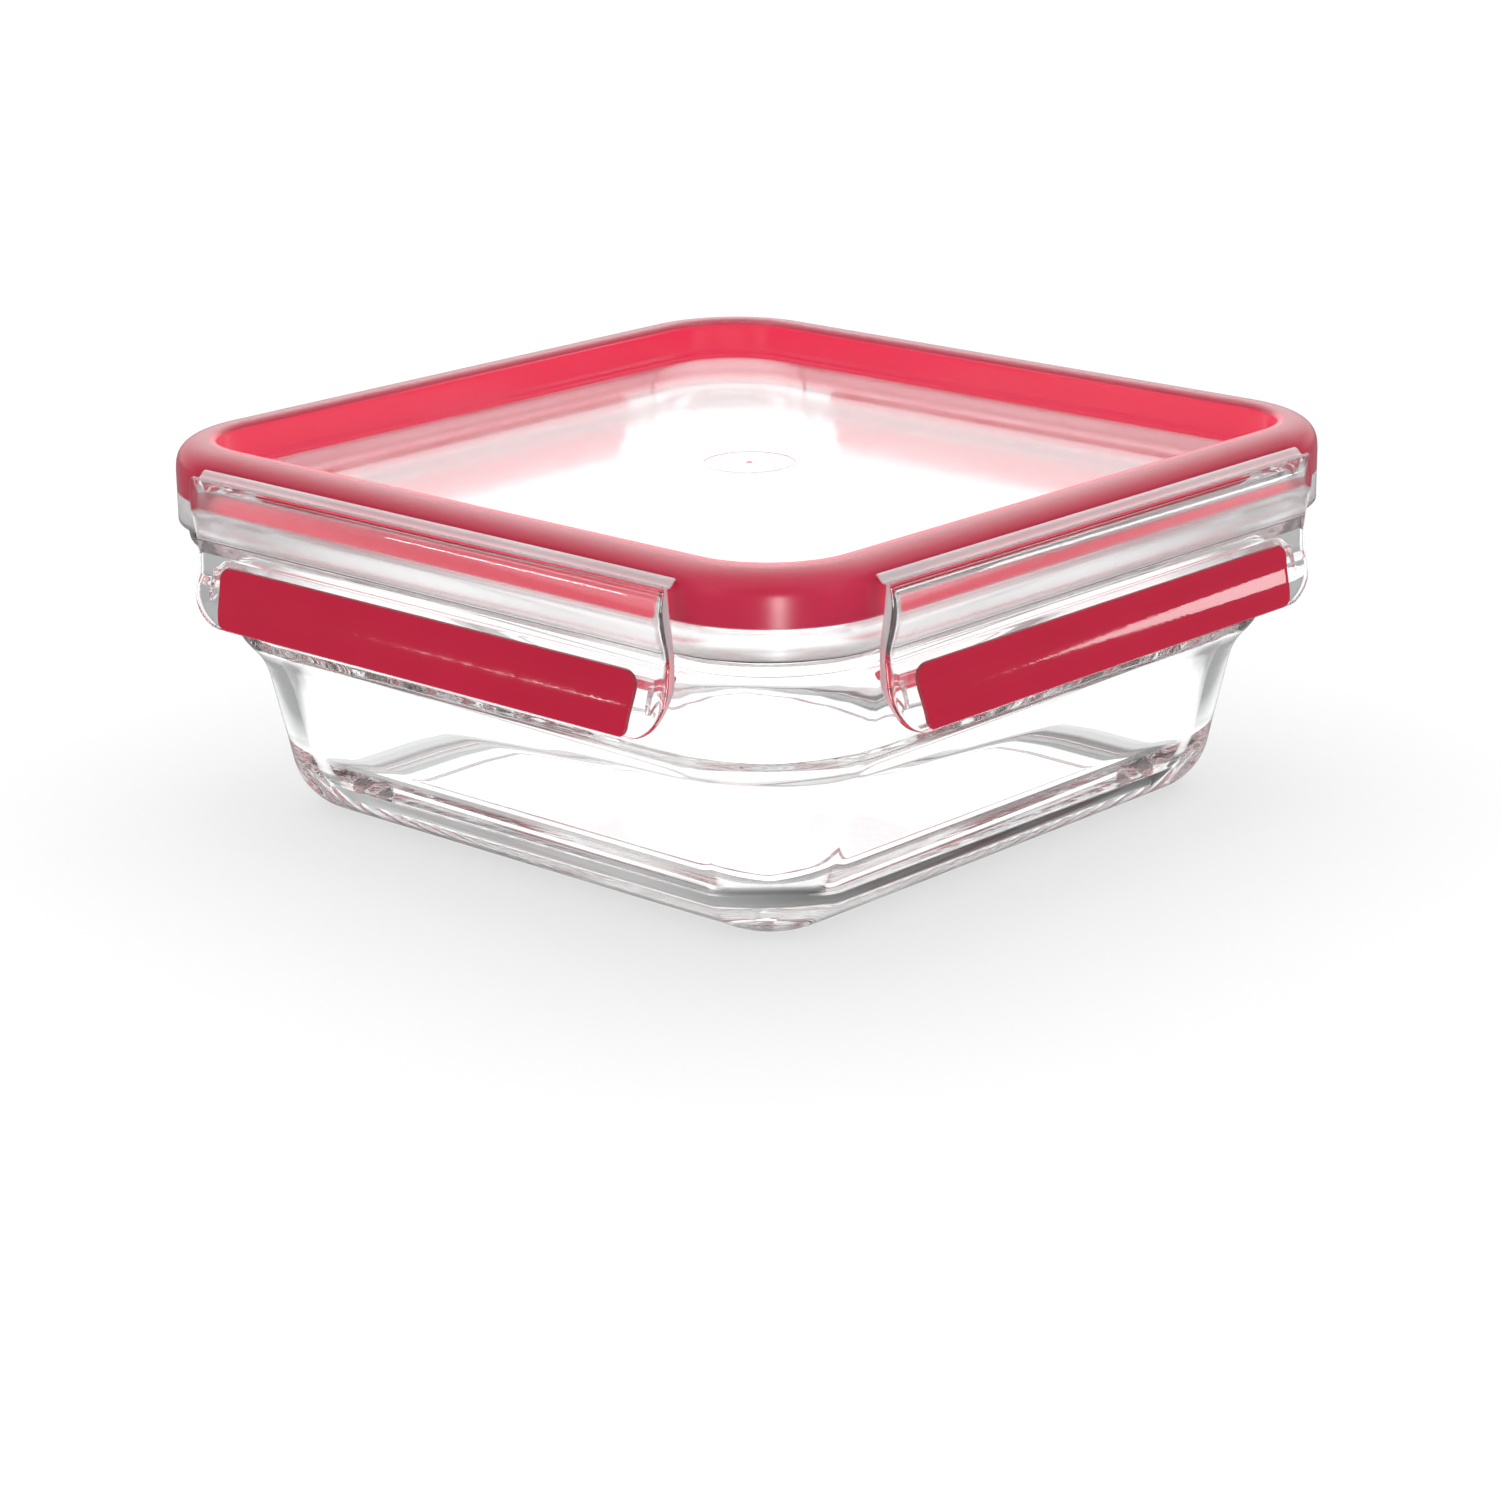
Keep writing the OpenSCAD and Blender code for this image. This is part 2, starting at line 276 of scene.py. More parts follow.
def make_dish():
    """The dish: its levels run under the base, up the outside, over the rim and down inside."""
    b, s, u, o = BASE_HALF, SHOULDER_Z, UPPER_HALF, RIM_OUT
    g, gw, gd = GROOVE_HALF, GROOVE_W / 2, GROOVE_D
    under = [(g - 4, 1.6, 0), (g - gw - 0.25, 1.3, 0), (g - gw, 1.3, 0.04),
             (g - gw + 0.1, 1.35, gd), (g + gw - 0.1, 1.5, gd), (g + gw, 1.55, 0.04),
             (g + gw + 0.25, 1.6, 0),
             (g + 5, 4, 0), (b - 2, 7, 0), (b - 0.6, BASE_CORNER_R - 0.6, 0)]
    heel = [wall((b, 0)), wall((b + 0.5, 0.12)), wall((b + 1, 0.33))]
    heel += [wall(p) for p in arc(b - 3.7, HEEL_R - 0.5, HEEL_R, -65, -HEEL_TILT, 14)]
    side = [(b + 10.7, s - 19.5), (b + 12.2, s - 13), (b + 13.3, s - 8), (b + 13.9, s - 5.5),
            (b + 14.6, s - 3.8), (b + 15.5, s - 2.2), (b + 16.7, s - 0.7), (b + 18, s + 0.7),
            (b + 19.1, s + 2.2), (b + 19.7, s + 3.9), (b + 20, s + 6), (b + 20.2, s + 11),
            (u, BEAD_Z - 1.6)]
    bead = [wall((u + 0.8, BEAD_Z - 0.4)), rim(o - 2, BEAD_Z), rim(o - 0.5, BEAD_Z + 0.7),
            rim(o, BEAD_Z + 2.2), rim(o, RIM_TOP - 2), rim(o - 0.7, RIM_TOP - 0.5),
            rim(o - 2, RIM_TOP)]
    r_in = CHANNEL_IN + 0.5
    crown = [rim(r_in + 1.1, RIM_TOP), rim(r_in + 0.2, RIM_TOP - 1), rim(r_in, RIM_TOP - 4.2),
             wall((u - WALL_T + 0.7, BEAD_Z + 2.4))]
    inner = [wall(p) for p in reversed(inward(side, WALL_T))]
    floor = [fillet_level(p) for p in
             arc(b - FILLET_IN, FLOOR_T + FILLET_R, FILLET_R, -HEEL_TILT, -90, 26)]
    floor += [(b - 6.7, 7, FLOOR_T), (b - 12, 5, FLOOR_T)]
    side_to_inner = chaikin([wall(p) for p in side] + bead + crown + inner, 2)
    levels = under + heel + side_to_inner + floor
    rings = [square_ring(*level) for level in levels]
    obj = new_object("dish_glass_body", *loft(rings), sharp_deg=60)
    return weighted_normals(obj)


# ---- Lid ----


def rim_top_line(inset=0.0):
    """The rim's top from its inner edge out and down to the side, moved inward by inset."""
    w, l, t = WINDOW_HALF, LID_HALF, LID_TOP
    line = [(w, t - 3.2), (w, t - 1.2), (w + 0.35, t - 0.4), (w + 1.2, t), (w + 2.6, t),
            (w + 4.4, t - 0.25), (w + 6, t - 0.9), (w + 7.3, t - 1.9), (w + 8.2, t - 3.4),
            (l, t - 5.4), (l, t - 8)]
    line = chaikin(line, 2)
    if not inset:
        return line
    moved = []
    for i, p in enumerate(line):
        a, b = Vector(line[max(i - 1, 0)]), Vector(line[min(i + 1, len(line) - 1)])
        d = (b - a).normalized()
        moved.append((p[0] + d.y * inset, p[1] - d.x * inset))
    return moved


def lid_shell_line():
    """The lid's section from the window's edge over the rim, round the skirt and back inside."""
    w, l = WINDOW_HALF, LID_HALF
    pz, pb = PANEL_Z, PANEL_Z - PANEL_T
    top = fillet([(w - LEDGE_W - 6, pz, 0), (w - LEDGE_W, pz, 0.25),
                  (w - LEDGE_W, pz + LEDGE_H, 0.3), (w, pz + LEDGE_H, 0.4), (w, LID_TOP - 3.2, 0)])
    skirt = fillet([(l, LID_TOP - 8, 0), (l, SKIRT_Z, 0.6), (CHANNEL_OUT, SKIRT_Z, 0.5),
                    (CHANNEL_OUT, LID_TOP - 8, 0)])
    inner = [p for p in reversed(rim_top_line(LID_T)) if CHANNEL_IN + 1 < p[0] < CHANNEL_OUT - 0.05]
    plug = fillet([(CHANNEL_IN + 1, LID_TOP - LID_T, 0), (CHANNEL_IN, LID_TOP - LID_T, 0.5),
                   (CHANNEL_IN, PLUG_Z, 0.5), (w + 0.2, PLUG_Z, 0.4), (w + 0.2, pb, 0.5),
                   (w - LEDGE_W - 6, pb, 0)])
    return top[:-1] + rim_top_line() + skirt[1:] + inner + plug


def fill_between(bm, loop, hole):
    """Fills a flat area between two closed loops of vertices."""
    edges = []
    for ring in (loop, hole):
        for i, v in enumerate(ring):
            pair = (v, ring[(i + 1) % len(ring)])
            edges.append(bm.edges.get(pair) or bm.edges.new(pair))
    bmesh.ops.triangle_fill(bm, edges=edges, use_beauty=True, use_dissolve=False)


def make_lid_shell():
    """The lid's clear moulding, with its window panel closed above and below."""
    line = lid_shell_line()
    rings = [rim_ring(h, z) for h, z in line]
    verts, faces = loft(rings, caps=False)
    mesh = bpy.data.meshes.new("lid_shell")
    mesh.from_pydata([Vector(v) * MM for v in verts], [], faces)
    bm = bmesh.new()
    bm.from_mesh(mesh)
    bm.verts.ensure_lookup_table()
    n = len(rings[0])
    first, last = list(bm.verts[:n]), list(bm.verts[-n:])

    # The gate mark: a fine groove round a disc, with a small dimple in its centre
    steps = 64
    groove = [(GATE_R + 0.35, 0), (GATE_R + 0.15, -0.12), (GATE_R - 0.15, -0.12),
              (GATE_R - 0.35, 0), (1.1, 0), (0.7, -0.25), (0.3, -0.3)]
    circles = []
    for r, dz in groove:
        circles.append([bm.verts.new(Vector((r * math.cos(2 * math.pi * i / steps),
                                             r * math.sin(2 * math.pi * i / steps),
                                             PANEL_Z + dz)) * MM) for i in range(steps)])
    for a, b in zip(circles, circles[1:]):
        for i in range(steps):
            k = (i + 1) % steps
            bm.faces.new((a[i], a[k], b[k], b[i]))
    bm.faces.new(circles[-1])
    fill_between(bm, first, circles[0])
    bm.faces.new(last)
    bmesh.ops.recalc_face_normals(bm, faces=bm.faces)
    bm.to_mesh(mesh)
    bm.free()
    mesh.polygons.foreach_set("use_smooth", [True] * len(mesh.polygons))
    mesh.set_sharp_from_angle(angle=math.radians(40))
    obj = bpy.data.objects.new("lid_shell", mesh)
    bpy.context.scene.collection.objects.link(obj)
    return weighted_normals(obj)


BOND = 0.02      # how far the seal's skin sits inside the clear moulding it is bonded to


def make_seal():
    """The seal: a red band that fills the rim's channel, shallow in the middle below."""
    outer = [p for p in rim_top_line(LID_T - BOND) if p[0] > CHANNEL_IN + 0.8]
    top = LID_TOP - LID_T + BOND
    line = fillet([(CHANNEL_IN - BOND, SEAL_Z, 0.5), (CHANNEL_IN - BOND, top, 0.5),
                   (outer[0][0], top, 0)])
    line += outer
    line += fillet([(CHANNEL_OUT + BOND, LID_TOP - 9, 0), (CHANNEL_OUT + BOND, SEAL_Z, 0.5),
                    (CHANNEL_OUT - 2.0, SEAL_Z, 0.5), (CHANNEL_OUT - 2.5, SEAL_Z + 0.5, 0.5),
                    (CHANNEL_IN + 2.5, SEAL_Z + 0.5, 0.5), (CHANNEL_IN + 2.0, SEAL_Z, 0.5),
                    (CHANNEL_IN + 0.6, SEAL_Z, 0)])
    rings = [rim_ring(h, z) for h, z in line]
    obj = new_object("seal_band", *loft(rings, closed=True))
    return weighted_normals(obj)


# ---- Clips ----

WAIST_X = LID_HALF + 2.7     # outer face of a clip at its waist


def spline_x(stops, z):
    """x at height z on a smooth line through stops, a list of (z, x) from low to high."""
    if z <= stops[0][0]:
        return stops[0][1]
    if z >= stops[-1][0]:
        return stops[-1][1]
    slopes = []
    for i in range(len(stops)):
        lo, hi = stops[max(i - 1, 0)], stops[min(i + 1, len(stops) - 1)]
        slopes.append((hi[1] - lo[1]) / (hi[0] - lo[0]))
    for i in range(len(stops) - 1):
        (z0, x0), (z1, x1) = stops[i], stops[i + 1]
        if z <= z1:
            h = z1 - z0
            t = (z - z0) / h
            return ((2 * t**3 - 3 * t**2 + 1) * x0 + (t**3 - 2 * t**2 + t) * h * slopes[i]
                    + (-2 * t**3 + 3 * t**2) * x1 + (t**3 - t**2) * h * slopes[i + 1])


CLIP_TOP = clip_high.z
OUTER_STOPS = [(FOOT_Z, TOE_X - 0.05), (FOOT_Z + 1.6, TOE_X - 0.25), (48.4, LID_HALF + 4.75),
               (52.4, WAIST_X + 0.95), (55.6, WAIST_X + 0.38), (57.2, WAIST_X + 0.28),
               (58.2, WAIST_X + 0.02), (59.4, WAIST_X + 0.1), (61.7, LID_HALF + 3.15),
               (64.5, LID_HALF + 3.9), (67.2, LID_HALF + 4.35), (69.2, LID_HALF + 4.45),
               (71, LID_HALF + 4.1), (CLIP_TOP, LID_HALF + 3.3)]
INNER_STOPS = [(FOOT_Z, TOE_X - 1.95), (48.6, WAIST_X + 0.4), (51.8, WAIST_X - 0.8),
               (53.6, LID_HALF + 0.75), (55, LID_HALF + 0.5), (58, LID_HALF + 0.45),
               (61, LID_HALF + 0.5), (67.1, LID_HALF + 1.2), (70.8, LID_HALF + 1.8),
               (CLIP_TOP, LID_HALF + 2.4)]
CLIP_CORNER_R = 9       # the clip's lower corners, seen from outside
END_R = 2.0             # its upright edges, in plan


def edge_drop(distance, radius):
    """How far a rounded edge draws back at a distance from its end."""
    if distance >= radius:
        return 0.0
    d = radius - max(distance, 0)
    return radius - math.sqrt(max(radius * radius - d * d, 0))


def plan_ring(x_in, x_out, half, z, r_out, r_in):
    """One level of a clip or pad: a rounded rectangle in plan, counter-clockwise."""
    steps = 6
    ring = []
    r_out = min(r_out, 0.62 * (x_out - x_in))
    r_in = min(r_in, 0.36 * (x_out - x_in))
    stops = [-0.985, -0.6, 0, 0.6, 0.985]
    for t in stops:
        ring.append((x_out, t * (half - r_out), z))
    for i in range(steps + 1):
        a = math.radians(90 * i / steps)
        ring.append((x_out - r_out + r_out * math.cos(a), half - r_out + r_out * math.sin(a), z))
    for i in range(4):
        a = math.radians(90 + 90 * i / 3)
        ring.append((x_in + r_in + r_in * math.cos(a), half - r_in + r_in * math.sin(a), z))
    for t in reversed(stops):
        ring.append((x_in, t * (half - r_in), z))
    for i in range(4):
        a = math.radians(180 + 90 * i / 3)
        ring.append((x_in + r_in + r_in * math.cos(a), -half + r_in + r_in * math.sin(a), z))
    for i in range(steps + 1):
        a = math.radians(270 + 90 * i / steps)
        ring.append((x_out - r_out + r_out * math.cos(a), -half + r_out + r_out * math.sin(a), z))
    return ring


def level_heights(low, high, fine, count):
    """Heights from low to high, close together near both ends."""
    out = []
    for k in range(7):
        out.append(low + fine * (1 - math.cos(math.radians(90 * k / 6))) * 0.999)
    z = low + fine
    step = (high - fine - z) / count
    out += [z + step * k for k in range(1, count + 1)]
    for k in range(1, 7):
        out.append(high - fine + fine * math.sin(math.radians(90 * k / 6)))
    return out


def make_clip(side, k):
    """A clip's clear moulding, with a rolled foot, round lower corners and soft edges."""
    rings = []
    foot_r, top_r = 0.7, 0.5
    lower = [FOOT_Z + CLIP_CORNER_R * (1 - math.cos(math.radians(90 * i / 16))) for i in range(17)]
    heights = sorted(set(round(z, 4) for z in
                         level_heights(FOOT_Z, CLIP_TOP, 0.7, 44) + lower))
    for z in heights:
        x_in, x_out = spline_x(INNER_STOPS, z), spline_x(OUTER_STOPS, z)
        foot = edge_drop(z - FOOT_Z, foot_r)
        crown = edge_drop(CLIP_TOP - z, top_r)
        half = CLIP_HALF - edge_drop(z - FOOT_Z, CLIP_CORNER_R) - edge_drop(CLIP_TOP - z, 0.8)
        rings.append(plan_ring(x_in + (foot + crown) * 0.9, x_out - foot - crown,
                               half, z, END_R, END_R))
    obj = new_object(f"clip_{side}_shell", *loft(rings), sharp_deg=50)
    return turned(weighted_normals(obj), k)


PAD_PROUD = 0.03     # the pad stands this far proud of the clip's face, so that it shows
PAD_T = 1.1
PAD_TAPER = 1.4      # how much shorter each end is at the pad's lower edge


def make_pad(side, k):
    """The red pad in the foot of a clip, with round corners and a slight taper downwards."""
    rings = []
    top, low = PAD_TOP, FOOT_Z + 0.35
    corner_top, corner_low = 3.2, 1.6
    heights = [low + corner_low * (1 - math.cos(math.radians(90 * i / 10))) for i in range(11)]
    heights += [top - corner_top * (1 - math.cos(math.radians(90 * i / 8))) for i in range(9)]
    plain = top - corner_top - low - corner_low
    heights += [low + corner_low + plain * i / 7 for i in range(1, 7)]
    for z in sorted(set(round(h, 4) for h in heights)):
        x_out = spline_x(OUTER_STOPS, z) + PAD_PROUD - 0.3 * edge_drop(z - low, 0.5)
        half = PAD_HALF - edge_drop(z - low, corner_low) - edge_drop(top - z, corner_top)
        half -= PAD_TAPER * (top - z) / (top - low)
        x_in = x_out - PAD_T + 0.4 * edge_drop(z - low, 0.5)
        rings.append(plan_ring(x_in, x_out, half, z, 0.6, 0.3))
    obj = new_object(f"grip_{side}_inlay", *loft(rings), sharp_deg=50)
    return turned(weighted_normals(obj), k)


def tube_faces(n, rings, base=0):
    """Faces of a tube with closed ends, over rings of n points from a vertex number on."""
    faces = []
    for j in range(rings - 1):
        for i in range(n):
            m = (i + 1) % n
            faces.append((base + j * n + i, base + j * n + m,
                          base + (j + 1) * n + m, base + (j + 1) * n + i))
    faces.append(tuple(base + i for i in range(n)))
    faces.append(tuple(base + (rings - 1) * n + i for i in range(n - 1, -1, -1)))
    return faces


def shrunk(line, share):
    """A closed line of (x, z) points drawn in towards its middle by a share."""
    cx = sum(p[0] for p in line) / len(line)
    cz = sum(p[1] for p in line) / len(line)
    return [(x + (cx - x) * share, z + (cz - z) * share) for x, z in line]


def make_rib(side, k):
    """The hooked latch rib behind a clip, with a gusset at each end."""
    face, tip, top = LID_HALF + 0.5, rib_low.x, rib_high.z
    line = fillet([(face + 0.3, top, 0.1), (tip + 1.2, top, 0.6), (tip, top - 0.8, 0.4),
                   (tip + 0.8, top - 1.9, 0.4), (face + 0.6, top - 2.4, 0.1)], closed=True)
    stops = [-1, -0.994, -0.5, 0, 0.5, 0.994, 1]
    verts = []
    for t in stops:
        verts += [(x, t * RIB_HALF, z) for x, z in shrunk(line, 0.12 if abs(t) == 1 else 0)]
    faces = tube_faces(len(line), len(stops))
    gusset = fillet([(tip + 1.0, top - 1.5, 0.2), (face + 0.9, top - 1.5, 0.1),
                     (face + 1.9, top - 4, 0.1), (face + 2.3, top - 6.8, 0.2)], closed=True)
    gusset_rings = [(1.25, 0.06), (1.15, 0), (0.15, 0), (0.05, 0.06)]     # inset, share drawn in
    for s in (-1, 1):
        faces += tube_faces(len(gusset), len(gusset_rings), len(verts))
        for inset, share in gusset_rings:
            verts += [(x, s * (RIB_HALF - inset), z) for x, z in shrunk(gusset, share)]
    obj = new_object(f"latch_{side}_rib", verts, faces, sharp_deg=50)
    return turned(weighted_normals(obj), k)


def make_web(side, k):
    """The thin dished web between the lid and a clip."""
    web_t = 0.5
    centre_line = [(LID_HALF - 0.3, HINGE_Z + 0.7), (LID_HALF + 0.25, HINGE_Z + 0.55),
                   (LID_HALF + 0.7, HINGE_Z - 0.1), (HINGE_X, HINGE_Z - 0.55),
                   (HINGE_X + 0.7, HINGE_Z - 0.35), (HINGE_X + 1.3, HINGE_Z - 0.3)]
    centre_line = chaikin(centre_line, 2)
    upper, lower = [], []
    for i, p in enumerate(centre_line):
        a = Vector(centre_line[max(i - 1, 0)])
        b = Vector(centre_line[min(i + 1, len(centre_line) - 1)])
        d = (b - a).normalized()
        upper.append((p[0] - d.y * web_t / 2, p[1] + d.x * web_t / 2))
        lower.append((p[0] + d.y * web_t / 2, p[1] - d.x * web_t / 2))
    line = upper + lower[::-1]
    n = len(line)
    half = CLIP_HALF - 0.6
    stops = [-1, -0.996, -0.5, 0, 0.5, 0.996, 1]
    verts = []
    for t in stops:
        squeeze = 0.35 if abs(t) == 1 else 0
        for i, (x, z) in enumerate(line):
            mx, mz = centre_line[i] if i < n // 2 else centre_line[n - 1 - i]
            verts.append((x + (mx - x) * squeeze, t * half, z + (mz - z) * squeeze))
    obj = new_object(f"hinge_{side}_web", verts, tube_faces(n, len(stops)), sharp_deg=50)
    return turned(obj, k)


# ---- Materials ----

NOISE_LOW, NOISE_HIGH = 0.3, 0.7     # the range in which most of a noise texture lies


def node_material(name):
    """An empty node material with a Principled shader, object coordinates and an output."""
    mat = bpy.data.materials.new(name)
    mat.use_nodes = True
    tree = mat.node_tree
    tree.nodes.clear()
    out = tree.nodes.new("ShaderNodeOutputMaterial")
    shader = tree.nodes.new("ShaderNodeBsdfPrincipled")
    tree.links.new(shader.outputs[0], out.inputs["Surface"])
    coords = tree.nodes.new("ShaderNodeTexCoord")
    return mat, tree, shader, coords.outputs["Object"]


def noise(tree, coords, scale, detail=2.0):
    node = tree.nodes.new("ShaderNodeTexNoise")
    node.inputs["Scale"].default_value = scale
    node.inputs["Detail"].default_value = detail
    tree.links.new(coords, node.inputs["Vector"])
    return node.outputs["Fac"]


def spread(tree, value, low, high, from_low=NOISE_LOW, from_high=NOISE_HIGH):
    """Maps a value to the range low to high, and stays within it."""
    node = tree.nodes.new("ShaderNodeMapRange")
    node.inputs["From Min"].default_value = from_low
    node.inputs["From Max"].default_value = from_high
    node.inputs["To Min"].default_value = low
    node.inputs["To Max"].default_value = high
    tree.links.new(value, node.inputs["Value"])
    return node.outputs["Result"]


def two_colours(tree, value, dark, light):
    """A colour that varies between two with a noise value."""
    node = tree.nodes.new("ShaderNodeValToRGB")
    low, high = node.color_ramp.elements
    low.position, high.position = NOISE_LOW, NOISE_HIGH
    low.color, high.color = (*dark, 1), (*light, 1)
    tree.links.new(value, node.inputs["Fac"])
    return node.outputs["Color"]


def bump(tree, shader, height, strength, distance):
    node = tree.nodes.new("ShaderNodeBump")
    node.inputs["Strength"].default_value = strength
    node.inputs["Distance"].default_value = distance
    tree.links.new(height, node.inputs["Height"])
    tree.links.new(node.outputs["Normal"], shader.inputs["Normal"])


def outside_square(tree, coords, half):
    """Distance in metres outside a square of a half width, which is round at its corners."""
    for operation, value in (("ABSOLUTE", 0), ("SUBTRACT", half * MM), ("MAXIMUM", 0)):
        step = tree.nodes.new("ShaderNodeVectorMath")
        step.operation = operation
        step.inputs[1].default_value = (value, value, 1 if operation == "SUBTRACT" else 0)
        tree.links.new(coords, step.inputs[0])
        coords = step.outputs["Vector"]
    away = tree.nodes.new("ShaderNodeVectorMath")
    away.operation = "LENGTH"
    tree.links.new(coords, away.inputs[0])
    return away.outputs["Value"]


def edge_shade(tree, core, edge, start):
    """A clear colour that deepens where the surface turns away: painted shade that draws dark
    outlines.
    """
    weight = tree.nodes.new("ShaderNodeLayerWeight")
    weight.inputs["Blend"].default_value = 0.5
    ramp = tree.nodes.new("ShaderNodeValToRGB")
    ramp.color_ramp.elements[0].position, ramp.color_ramp.elements[1].position = start, 1.0
    ramp.color_ramp.elements[0].color = (1, 1, 1, 1)
    ramp.color_ramp.elements[1].color = (*edge, 1)
    tree.links.new(weight.outputs["Facing"], ramp.inputs["Fac"])
    mix = tree.nodes.new("ShaderNodeMix")
    mix.data_type, mix.blend_type = "RGBA", "MULTIPLY"
    mix.inputs["Factor"].default_value = 1
    tree.links.new(core, mix.inputs["A"])
    tree.links.new(ramp.outputs["Color"], mix.inputs["B"])
    return mix.outputs["Result"]


def glass_material(name, dark, light):
    """Pressed glass, faintly green in its depth, with a slow ripple in its skin and painted shade
    towards its edges.
    """
    mat, tree, shader, coords = node_material(name)
    tint = two_colours(tree, noise(tree, coords, 18), dark, light)
    # The glass colour is darkened towards its edges: painted shade that draws dark outlines.
    tree.links.new(edge_shade(tree, tint, (0.66, 0.67, 0.67), 0.88), shader.inputs["Base Color"])
    tree.links.new(spread(tree, noise(tree, coords, 60), 0.0, 0.006), shader.inputs["Roughness"])
    shader.inputs["Transmission Weight"].default_value = 1
    shader.inputs["IOR"].default_value = 1.5
    bump(tree, shader, noise(tree, coords, 16, 1), 0.02, 0.0003)
    absorb = tree.nodes.new("ShaderNodeVolumeAbsorption")
    absorb.inputs["Color"].default_value = (0.84, 0.855, 0.85, 1)
    absorb.inputs["Density"].default_value = 7
    tree.links.new(absorb.outputs[0], tree.nodes["Material Output"].inputs["Volume"])
    return mat


def combined(tree, operation, first, second):
    """One socket that holds a sum, product or other combination of two sockets."""
    node = tree.nodes.new("ShaderNodeMath")
    node.operation = operation
    for socket, value in zip(node.inputs, (first, second)):
        if isinstance(value, (int, float)):
            socket.default_value = value
        else:
            tree.links.new(value, socket)
    return node.outputs[0]


def clear_material(name, haze, roughness, dark=(0.985, 0.985, 0.99),
                   rim_roughness=0.0, rim_haze=0.0):
    """Clear moulded plastic with a little haze in its body, and a satin rim if it has one."""
    mat, tree, shader, coords = node_material(name)
    tint = two_colours(tree, noise(tree, coords, 30), dark, (1, 1, 1))
    # The plastic's colour is darkened towards its edges: painted shade that draws dark outlines.
    tree.links.new(edge_shade(tree, tint, (0.8, 0.77, 0.78), 0.82), shader.inputs["Base Color"])
    skin = spread(tree, noise(tree, coords, 90), *roughness)
    shader.inputs["Transmission Weight"].default_value = 1 - haze
    if rim_roughness:
        outside = outside_square(tree, coords, CORNER_C)
        window_edge = (WINDOW_HALF - CORNER_C) * MM
        satin = spread(tree, outside, 0, rim_roughness, window_edge - 0.0005, window_edge + 0.0005)
        skin = combined(tree, "MAXIMUM", skin, satin)
        milky = spread(tree, outside, 1, 1 - rim_haze, window_edge - 0.0005, window_edge + 0.0015)
        clearer = spread(tree, outside, 0, rim_haze, (CORNER_R - 4.5) * MM, (CORNER_R - 1) * MM)
        tree.links.new(combined(tree, "ADD", milky, clearer), shader.inputs["Transmission Weight"])
    tree.links.new(skin, shader.inputs["Roughness"])
    shader.inputs["IOR"].default_value = 1.49
    bump(tree, shader, noise(tree, coords, 30, 1), 0.02, 0.0002)
    return mat


def soft_material(name, dark, light, roughness, specular, glow=0.0):
    """An opaque soft moulding, with slightly uneven colour, a fine satin grain and, if given, a
    painted glow.
    """
    mat, tree, shader, coords = node_material(name)
    tree.links.new(two_colours(tree, noise(tree, coords, 35, 3), dark, light),
                   shader.inputs["Base Color"])
    tree.links.new(spread(tree, noise(tree, coords, 240), *roughness), shader.inputs["Roughness"])
    shader.inputs["Specular IOR Level"].default_value = specular
    # A glow is painted light: a red emission that stands in for light passing through the red.
    shader.inputs["Emission Color"].default_value = (1.0, 0.04, 0.10, 1)
    shader.inputs["Emission Strength"].default_value = glow
    bump(tree, shader, noise(tree, coords, 900, 2), 0.04, 0.0001)
    return mat


def fade_to_corners(mat, strongest):
    """Lets a material's painted glow fade out over the last millimetres before the lid's corners.
    """
    tree = mat.node_tree
    place = tree.nodes.new("ShaderNodeTexCoord").outputs["Object"]
    whole = tree.nodes.new("ShaderNodeVectorMath")
    whole.operation = "ABSOLUTE"
    tree.links.new(place, whole.inputs[0])
    parts = tree.nodes.new("ShaderNodeSeparateXYZ")
    tree.links.new(whole.outputs["Vector"], parts.inputs[0])
    along = combined(tree, "MINIMUM", parts.outputs["X"], parts.outputs["Y"])
    glow = spread(tree, along, strongest, 0.0, (CORNER_C - 5) * MM, CORNER_C * MM)
    tree.links.new(glow, tree.nodes["Principled BSDF"].inputs["Emission Strength"])


GLASS = glass_material("pressed_glass", (0.98, 0.99, 0.988), (1, 1, 1))
# The heel's glass is tinted grey: painted shade that draws the dark band along the base.
HEEL_SHADED_GLASS = glass_material("heel_shaded_glass", (0.42, 0.43, 0.43), (0.48, 0.485, 0.485))
LID_CLEAR = clear_material("lid_clear_plastic", 0.0, (0.05, 0.08),
                           rim_roughness=0.26, rim_haze=0.12)
CLIP_CLEAR = clear_material("clip_clear_plastic", 0.015, (0.01, 0.025))
# Hazy pinkish plastic for the clips' ends and the hinge webs: painted light, whose haze brightens
# them and whose pink stands in for the red seen through them.
CLIP_END_PAINTED_LIGHT = clear_material("clip_end_painted_light", 0.5, (0.05, 0.08), dark=(1.0, 0.84, 0.87))
SEAL_RED = soft_material("seal_red_rubber", (0.80, 0.016, 0.08), (0.84, 0.020, 0.10),
                         (0.35, 0.5), 0.1)
# The seal's inner wall: a brighter red with a red glow, painted light that stands in for light
# passing through the seal.
SEAL_INNER_GLOW = soft_material("seal_inner_painted_glow", (0.95, 0.02, 0.10), (0.98, 0.03, 0.13),
                           (0.35, 0.5), 0.1, glow=0.42)
# The seal's sides where the clips cover them: a painted red glow that brightens the red seen
# through the clips.
SEAL_SIDE_GLOW = soft_material("seal_side_painted_glow", (0.80, 0.016, 0.08), (0.84, 0.020, 0.10),
                          (0.35, 0.5), 0.1)
fade_to_corners(SEAL_SIDE_GLOW, 0.48)
# Near black for the underside of the lid's skirt: painted shade, a dark line along the skirt's
# bottom.
SKIRT_SHADE = soft_material("skirt_painted_shade", (0.05, 0.05, 0.052), (0.07, 0.07, 0.072),
                           (0.2, 0.3), 0.3)
